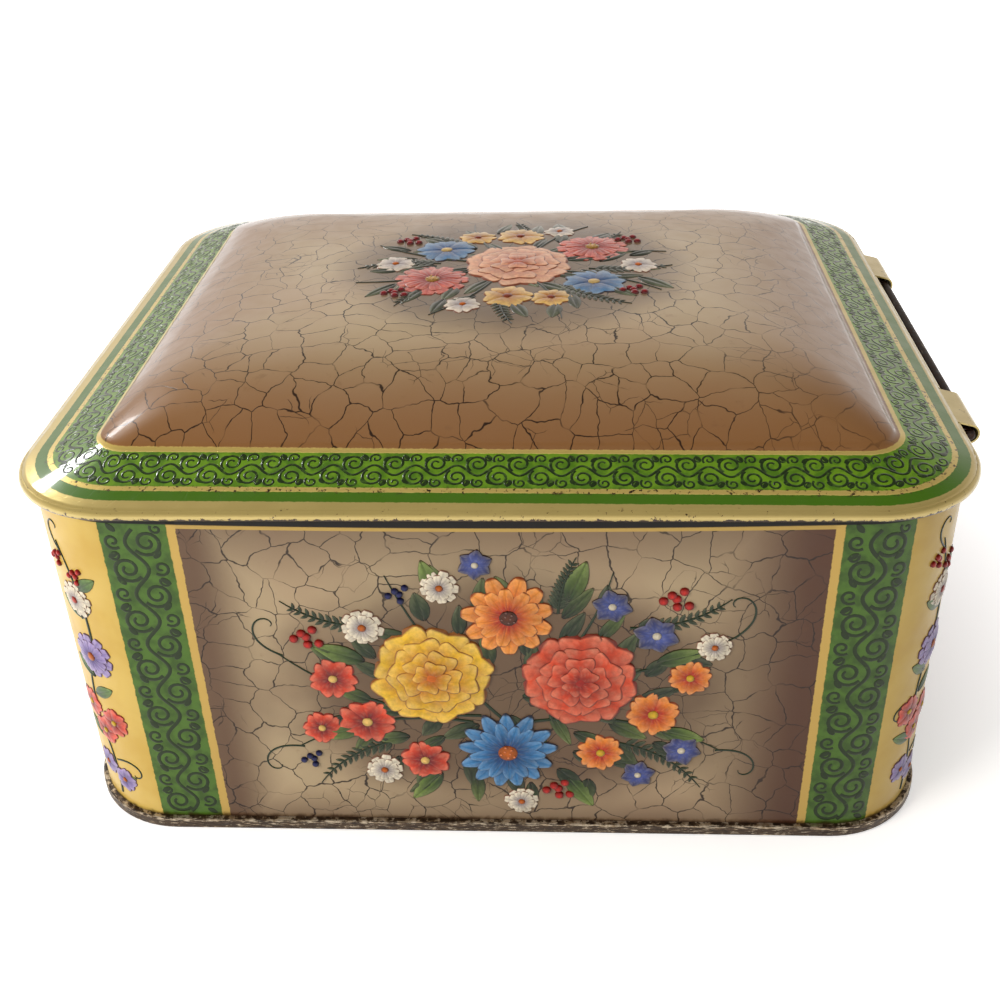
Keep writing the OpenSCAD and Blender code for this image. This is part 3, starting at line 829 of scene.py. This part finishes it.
    def daisy(self, at, r, inner, outer, heart, n=12, base=0.25, blunt=0.3, seeds=7):
        turn = self.rng.uniform(0, 6)
        more = dict(rise=0.3, blunt=blunt, root=0.6, crease=0.1, inner=inner, outer=outer)
        self.ring_of(at, n, turn, 0.12 * r, length=0.9 * r, width=r * 5.0 / n, base=base, **more)
        self.ring_of(at, n, turn + math.pi / n, 0.1 * r, length=0.68 * r, width=r * 4.0 / n,
                     base=base + 0.22, **more)
        self.button(at, 0.2 * r, base + 0.4, 0.4, heart, tint(heart, 0.4), seeds)

    def blossom(self, at, r, inner, outer, heart, n=5, base=0.2, **kw):
        more = dict(rise=0.3, blunt=0.2, root=0.6, notch=0.16, veins=0.15, lip=0.3)
        more.update(kw)
        self.ring_of(at, n, self.rng.uniform(0, 6), 0.08 * r, length=0.95 * r, width=r * 5.6 / n, base=base,
                     inner=inner, outer=outer, **more)
        self.button(at, 0.2 * r, base + 0.25, 0.3, heart, tint(heart, 0.5))

    def berries(self, at, r, count, colour):
        for i in range(count):
            a, q = 2.4 * i, r * math.sqrt(i / count)
            self.button(polar(at, q, a), r * 0.3, 0.2 + 0.05 * (i % 3), 0.5, tint(colour, 1.3),
                        tint(colour, 0.35))

    def object(self, name, material):
        return mesh_object(name, row(np.concatenate(self.v)), np.concatenate(self.f), material,
                           colours=np.concatenate(self.c))


def spiral(cx, cy, r, start, turns, hand, n=26):
    """A line that winds in towards its middle."""
    k = np.linspace(0, 1, n)
    a = start + hand * 2 * math.pi * turns * k
    q = r * (1 - 0.78 * k)
    return np.stack([cx + q * np.cos(a), cy + q * np.sin(a)], 1)


def scroll_unit(rel, s, mid, pitch, half, colour, wide=0.9):
    """One pitch of the scrolled vine: a swaying stem with a large and a smaller spiral on each side."""
    k = np.linspace(0, 1, 24)
    sway = 0.3 * half * np.sin(2 * math.pi * k)
    rel.ribbon(np.stack([s + pitch * k, mid + sway], 1), wide, colour, 0.05, 1.0)
    for side, at in ((1, 0.25), (-1, 0.75)):
        # The large spiral lies in the hollow of the stem and grows from the stem's last crossing
        c = (s + pitch * at, mid - side * half * 0.4)
        rel.ribbon(spiral(*c, half * 0.52, side * 2.2, 1.55, side), wide, colour, 0.05, 0.75)
        c = (s + pitch * (at + 0.02), mid + side * half * 0.72)
        rel.ribbon(spiral(*c, half * 0.3, -side * 2.4, 1.2, -side, 18), wide * 0.85, colour, 0.05, 0.8)
        c = (s + pitch * (at + 0.25), mid - side * half * 0.78)
        rel.ribbon(spiral(*c, half * 0.2, side * 0.9, 1.0, side, 14), wide * 0.75, colour, 0.05, 0.8)
        for along, off, turn in ((-0.17, 0.62, 2.2), (0.2, 0.55, 0.7)):
            rel.petal((s + pitch * (at + along), mid + side * half * off), side * turn, half * 0.42,
                      half * 0.22, 0.05, 0.04, colour, colour, blunt=0.8, veins=0.0, lip=0.0)


def lid_scrolls(material):
    rel = Relief(on_print, 3)
    pitch = 4 * (HALF_X + LEAD * math.pi / 2 + HALF_Y) / LID_SCROLL_COUNT
    for i in range(LID_SCROLL_COUNT):
        scroll_unit(rel, i * pitch, SCROLL_MID, pitch, SCROLL_HALF, INK, 0.72)
    return rel.object("lid_scrolls", material)


def body_scrolls(material):
    half = (BAND_END - LINE_END) / 2
    bands = [(LINE_END + BAND_END) / 2, (SIDE_BAND_END + SIDE_LINE_END) / 2]
    count, low, high = 6, 4.6, 89.0
    pitch = (high - low) / count
    rel = Relief(lambda u, v, h: on_wall(v, u, h), 4)
    for base in (0.0, 2 * QUARTER):
        for sign in (-1, 1):
            for mid in bands:
                at = base + PRINT_SHIFT + sign * mid
                for i in range(count):
                    scroll_unit(rel, low + i * pitch, at, pitch, half - 0.9, INK, 1.05)
    return rel.object("body_scrolls", material)


# Flower colours
RED = srgb(176, 26, 12)
BLUE, PALE_BLUE = srgb(12, 50, 104), srgb(46, 122, 178)
SUN, PALE_SUN = srgb(196, 96, 4), srgb(226, 180, 30)
WHITE, SHADE = srgb(222, 212, 190), srgb(150, 140, 142)
NAVY, PALE_NAVY = srgb(22, 26, 78), srgb(70, 84, 150)
LILAC, PALE_LILAC = srgb(84, 66, 130), srgb(146, 128, 186)
ROSE, PALE_ROSE = srgb(140, 30, 34), srgb(194, 88, 78)
SALMON, PALE_SALMON = srgb(180, 84, 56), srgb(214, 152, 116)
LEAF_DARK = srgb(22, 40, 16)
WINE = srgb(110, 12, 20)


def undergrowth(rel, at, reach_x, reach_y, count, dark, pale, low=0.0):
    """Dense short leaves under a bunch, pointing outward."""
    draw = rel.rng.uniform
    for i in range(count):
        a, q = GOLDEN_ANGLE * i, math.sqrt((i + 0.5) / count)
        x, y = reach_x * q * math.cos(a), reach_y * q * math.sin(a)
        f = draw(0.0, 0.8)
        tip = tuple(d * (1 - f) + p * f for d, p in zip(dark, pale))
        rel.leaf(at(x, y), a + draw(-0.7, 0.7), draw(8.0, 12.0), draw(3.4, 4.8), low, dark, tip)


def front_bouquet(rel, s, wide=1.0):
    """A round bunch for a body wall, centred s along it."""
    at = lambda x, z: (s + x * wide, WALL_BUNCH_Z + z)
    for a, b, bend in (((-6, -6), (-52, 12), 0.2), ((6, 4), (52, 18), -0.15), ((4, -8), (50, -16), 0.2),
                       ((-8, -8), (-50, -16), -0.2), ((0, -8), (-26, 34), 0.1), ((4, 0), (24, 35), -0.15)):
        rel.stem(at(*a), at(*b), bend, 0.9, LEAF_DARK)
    for a, b, bend in (((-26, -14), (-46, -28), -0.2), ((26, -14), (46, -28), 0.2), ((28, 20), (50, 28), -0.2),
                       ((-28, 20), (-50, 27), 0.2), ((12, 24), (16, 39), 0.1)):
        rel.fern(at(*a), at(*b), bend, LEAF_DARK)
    undergrowth(rel, at, 41, 29, 66, LEAF_DARK, srgb(96, 116, 44))
    for x, z, turn, ln in ((-32, 10, 2.8, 13), (-14, 27, 1.9, 12), (14, 27, 1.2, 12), (34, 10, 0.3, 12),
                           (-16, -24, 4.0, 12), (14, -25, 5.3, 12), (36, -10, 6.0, 11),
                           (-34, -10, 3.4, 12)):
        rel.leaf(at(x, z), turn, ln, ln * 0.42)
    for x, z, turn, hand in ((-52, 12, 2.7, -1), (52, 18, 0.7, 1), (-50, -16, 3.0, 1), (50, -16, 0.1, -1)):
        rel.curl(at(x, z), turn, 10, LEAF_DARK, hand=hand)
    rel.rose(at(-17, 6), 13.5, SUN, PALE_SUN, base=0.35)
    rel.rose(at(17, 5), 13.0, srgb(150, 22, 8), srgb(212, 68, 28), base=0.35)
    rel.daisy(at(0, -17), 12.0, BLUE, PALE_BLUE, SUN, n=13, base=0.4, blunt=0.7)
    rel.daisy(at(1, 23), 10.5, srgb(172, 28, 6), srgb(226, 138, 44), srgb(90, 40, 14), n=11, base=0.3,
              blunt=0.5)
    for x, z, r in ((-33, -8, 6.4), (-40, 5, 5.4), (-20, -20, 5.6), (-44, -10, 4.6)):
        rel.blossom(at(x, z), r, WINE, srgb(216, 62, 28), srgb(244, 200, 110))
    for x, z, r in ((34, -5, 6.2), (22, -17, 5.4), (42, 6, 4.8)):
        rel.blossom(at(x, z), r, srgb(172, 28, 6), srgb(224, 130, 36), PALE_SUN, n=6)
    for x, z, r in ((34, 18, 5.2), (41, -16, 4.8), (24, 26, 4.6), (31, -24, 4.2), (-6, 37, 4.0)):
        rel.blossom(at(x, z), r, PALE_NAVY, NAVY, WHITE, n=6, blunt=1.0, notch=0)
    for x, z, r in ((-32, 20, 5.0), (-14, 31, 4.4), (-30, -23, 4.6), (3, -33, 4.2), (47, 15, 4.0)):
        rel.daisy(at(x, z), r, SHADE, WHITE, SUN, n=9, seeds=0)
    for x, z in ((-45, 17), (12, -29), (38, 28)):
        rel.berries(at(x, z), 3.6, 6, RED)
    for x, z in ((-23, 29), (-47, -20)):
        rel.berries(at(x, z), 2.8, 5, NAVY)


def lid_bouquet(rel):
    """The lid's wreath-like bunch: one soft bloom with daisies and blue blossoms round it."""
    at = lambda x, y: (LID_BUNCH_X + x, LID_BUNCH_Y + y)
    fade_dark, fade = srgb(44, 50, 40), srgb(104, 112, 84)
    spoke = lambda a, far_x, far_y: at(far_x * math.cos(a), far_y * math.sin(a))
    for k in range(8):
        a = 0.3 + k * math.pi / 4
        rel.stem(spoke(a, 8, 6), spoke(a, 43, 36), 0.15, 0.9, fade_dark)
        rel.fern(spoke(a + 0.35, 20, 17), spoke(a + 0.5, 42, 37), -0.15, fade_dark, size=3.6)
    undergrowth(rel, at, 34, 28, 48, fade_dark, fade, -0.02)
    rel.rose(at(1, 1), 14.0, SALMON, PALE_SALMON, base=0.1)
    for x, y in ((-21, -10), (21, 13)):
        rel.daisy(at(x, y), 10.0, ROSE, PALE_ROSE, srgb(190, 140, 60), n=11, base=0.1)
    for x, y in ((-19, 12), (21, -12)):
        rel.blossom(at(x, y), 8.0, srgb(16, 60, 112), srgb(58, 112, 156), srgb(214, 180, 110), n=6, base=0.1)
    for x, y, r in ((1, 23, 6.4), (-1, -21, 6.4), (-11, 22, 5.0), (10, -22, 5.0)):
        rel.blossom(at(x, y), r, srgb(160, 96, 30), srgb(206, 164, 86), srgb(140, 56, 30), base=0.1)
    for x, y, r in ((-32, 2, 5.0), (33, 0, 5.0), (12, 27, 4.4), (-12, -26, 4.4)):
        rel.blossom(at(x, y), r, SHADE, srgb(206, 192, 176), SUN, base=0.1)
    for x, y in ((-30, -18), (31, 20), (-30, 20), (31, -17)):
        rel.berries(at(x, y), 3.4, 6, ROSE)


def corner_spray(rel, s):
    """A rising spray of small flowers for a rounded corner."""
    at = lambda x, z: (s + x, z)
    for a, b, bend in (((0, 6), (-2, 28), -0.12), ((-2, 28), (3, 56), 0.12), ((3, 56), (-2, 82), -0.12)):
        rel.stem(at(*a), at(*b), bend, 0.7, LEAF_DARK)
    for x, z, t, hand in ((-2, 80, 2.4, -1), (2, 62, 0.5, 1), (-2, 36, 2.6, 1), (2, 18, 0.4, -1)):
        rel.curl(at(x, z), t, 7, LEAF_DARK, hand=hand)
    for x, z, t in ((2, 70, 0.6), (2, 62, 2.6), (1, 44, 2.6), (-1, 38, 0.5), (-1, 24, 2.7), (0, 10, 0.5)):
        rel.leaf(at(x, z), t, 8.0, 3.6, 0.05, srgb(34, 62, 30), srgb(84, 118, 50))
    for x, z in ((-3, 77), (3, 74)):
        rel.berries(at(x, z), 2.6, 5, RED)
    rel.daisy(at(1, 67), 4.8, SHADE, WHITE, srgb(190, 60, 40), n=11, base=0.15, seeds=0)
    rel.daisy(at(2, 51), 6.2, LILAC, PALE_LILAC, SUN, n=10, base=0.15, seeds=0)
    for x, z in ((-4, 34), (4, 31), (0, 27)):
        rel.blossom(at(x, z), 4.0, WINE, srgb(216, 62, 44), PALE_SUN, base=0.15)
    for x, z in ((-3, 15), (3, 12)):
        rel.blossom(at(x, z), 3.6, LILAC, PALE_LILAC, SUN, base=0.15)


# ---------- build
PRINT_LID, PRINT_BODY = lid_print(), body_print()
LID_FLOWERS, FLOWERS = flower_print("litho_flowers_lid", LID_GLOSS), flower_print("litho_flowers", 0.2)
LID_SCROLLS, SCROLLS = ink_print("litho_scrolls_lid", LID_GLOSS, 0.5), ink_print("litho_scrolls", 0.15, 0.6)
GOLD_INSIDE, SEAM, STEEL = lacquer_inside(), worn_seam(), dark_steel()

plate = lid_plate(PRINT_LID, GOLD_INSIDE)
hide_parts("lid")
lid_parts = [plate, *bead_pieces(PRINT_LID), *knuckle_pieces(PRINT_LID), lid_scrolls(LID_SCROLLS)]
rel = Relief(on_dome, 11)
lid_bouquet(rel)
lid_parts.append(rel.object("lid_flowers", LID_FLOWERS))
for o in lid_parts:
    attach(o, "lid")

box_parts = [body_scrolls(SCROLLS)]
for k, name in enumerate(("front", "right", "back", "left")):
    rel = Relief(on_wall, 20 + k % 2)
    front_bouquet(rel, PRINT_SHIFT + k * QUARTER, 1.0 if k % 2 == 0 else 0.8)
    box_parts.append(rel.object(f"flowers_{name}", FLOWERS))
rel = Relief(on_wall, 30)
for base in (0.0, 2 * QUARTER):
    for sign in (-1, 1):
        corner_spray(rel, base + PRINT_SHIFT + sign * (BAND_END + SIDE_BAND_END) / 2)
box_parts.append(rel.object("corner_sprays", FLOWERS))
for o in box_parts:
    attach(o, "box")

for name, material in (("body_shell", PRINT_BODY), ("base_plate", SEAM),
                       ("hinge_plate", STEEL), ("hinge_pin", STEEL)):
    for s in frame["nodes"][name].material_slots:
        s.material = material


# ---------- studio
def seeing_rays(tree):
    """The camera, glossy and transmission rays, which all see the white background."""
    path = node(tree, "ShaderNodeLightPath")
    return [Sock(tree, path.outputs[f"Is {kind} Ray"]) for kind in ("Camera", "Glossy", "Transmission")]


def floor():
    sh = Shader("floor_paper")
    v = sh.scaled()
    cloud = sh.noise(v, 0.01).ramp(0.3, 0.7)
    sh.set("Base Color", sh.mix(cloud, srgb(246, 246, 246), srgb(240, 240, 240)))
    sh.set("Roughness", 0.9)
    sh.set("Specular IOR Level", 0.2)
    # The camera sees the paper as white away from the object, and the shadow stays
    x, y, _ = sh.xyz(v)
    away = x.hypot(y).ramp(90.0, 330.0, 0.35, 1.0)
    camera_ray, glossy_ray, through = seeing_rays(sh.t)
    sh.set("Emission Color", (1.0, 1.0, 1.0, 1.0))
    sh.set("Emission Strength", away * camera_ray.max(glossy_ray).max(through))
    me = bpy.data.meshes.new("floor")
    me.from_pydata([(-4, -4, 0), (4, -4, 0), (4, 4, 0), (-4, 4, 0)], [], [(0, 1, 2, 3)])
    me.materials.append(sh.m)
    o = place_object("floor", me)


def area(name, at, target, size, power, colour=(1, 1, 1), mirrored=False):
    """A soft lamp that lights the print, or one that only shows as a reflection."""
    lamp = bpy.data.lights.new(name, "AREA")
    lamp.shape, lamp.size, lamp.size_y = "RECTANGLE", size[0], size[1]
    lamp.energy, lamp.color = power, colour
    o = place_object(name, lamp)
    o.location = at
    o.rotation_euler = (Vector(target) - Vector(at)).to_track_quat("-Z", "Y").to_euler()
    o.visible_glossy, o.visible_diffuse = mirrored, not mirrored


def world():
    """A white background, which reflections also show near the horizon and dimmer overhead."""
    w = bpy.data.worlds.new("studio")
    bpy.context.scene.world = w
    w.use_nodes = True
    t = w.node_tree
    t.nodes.clear()
    direction = made(t, "ShaderNodeTexCoord", out="Generated")
    overhead = made(t, "ShaderNodeSeparateXYZ", {0: direction}, 2).ramp(0.3, 0.72, 1.0, 0.12)
    camera_ray, glossy_ray, through = seeing_rays(t)
    strength = camera_ray.max(through).max(glossy_ray * overhead)
    strength = strength.max((1.0 - camera_ray.max(glossy_ray)) * 0.4)
    warm, white = (1.0, 0.93, 0.87, 1.0), (1.0, 1.0, 1.0, 1.0)
    colour = made(t, "ShaderNodeMix", {0: camera_ray, 6: warm, 7: white}, 2, data_type="RGBA")
    node(t, "ShaderNodeOutputWorld", {0: made(t, "ShaderNodeBackground", {0: colour, 1: strength})})


def camera():
    cam = bpy.data.cameras.new("camera")
    cam.sensor_fit, cam.sensor_width, cam.lens = "HORIZONTAL", 36.0, 44.91
    cam.clip_start, cam.clip_end = 0.01, 20.0
    yaw, pitch, roll = map(math.radians, (-3.51, 31.6, -1.82))
    forward = Vector((math.sin(yaw) * math.cos(pitch), math.cos(yaw) * math.cos(pitch), -math.sin(pitch)))
    right = Vector((math.cos(yaw), -math.sin(yaw), 0))
    up = right.cross(forward)
    rolled_right = right * math.cos(roll) + up * math.sin(roll)
    rolled_up = up * math.cos(roll) - right * math.sin(roll)
    o = place_object("camera", cam)
    m = Matrix((rolled_right, rolled_up, -forward)).transposed().to_4x4()
    m.translation = (0.01423, -0.31303, 0.23324)
    o.matrix_world = m
    bpy.context.scene.camera = o


floor()
world()
area("key", (-0.6, -0.5, 0.42), (0, 0, 0.06), (0.36, 0.36), 5.0, (1, 0.97, 0.92))
area("top", (-0.2, 0.0, 1.3), (0, 0, 0.1), (1.2, 1.0), 7.6)
area("window", (-1.05, 0.85, 0.97), (0, 0, 0.09), (0.2, 0.17), 6, mirrored=True)
camera()
bpy.context.scene.view_settings.view_transform = "Standard"
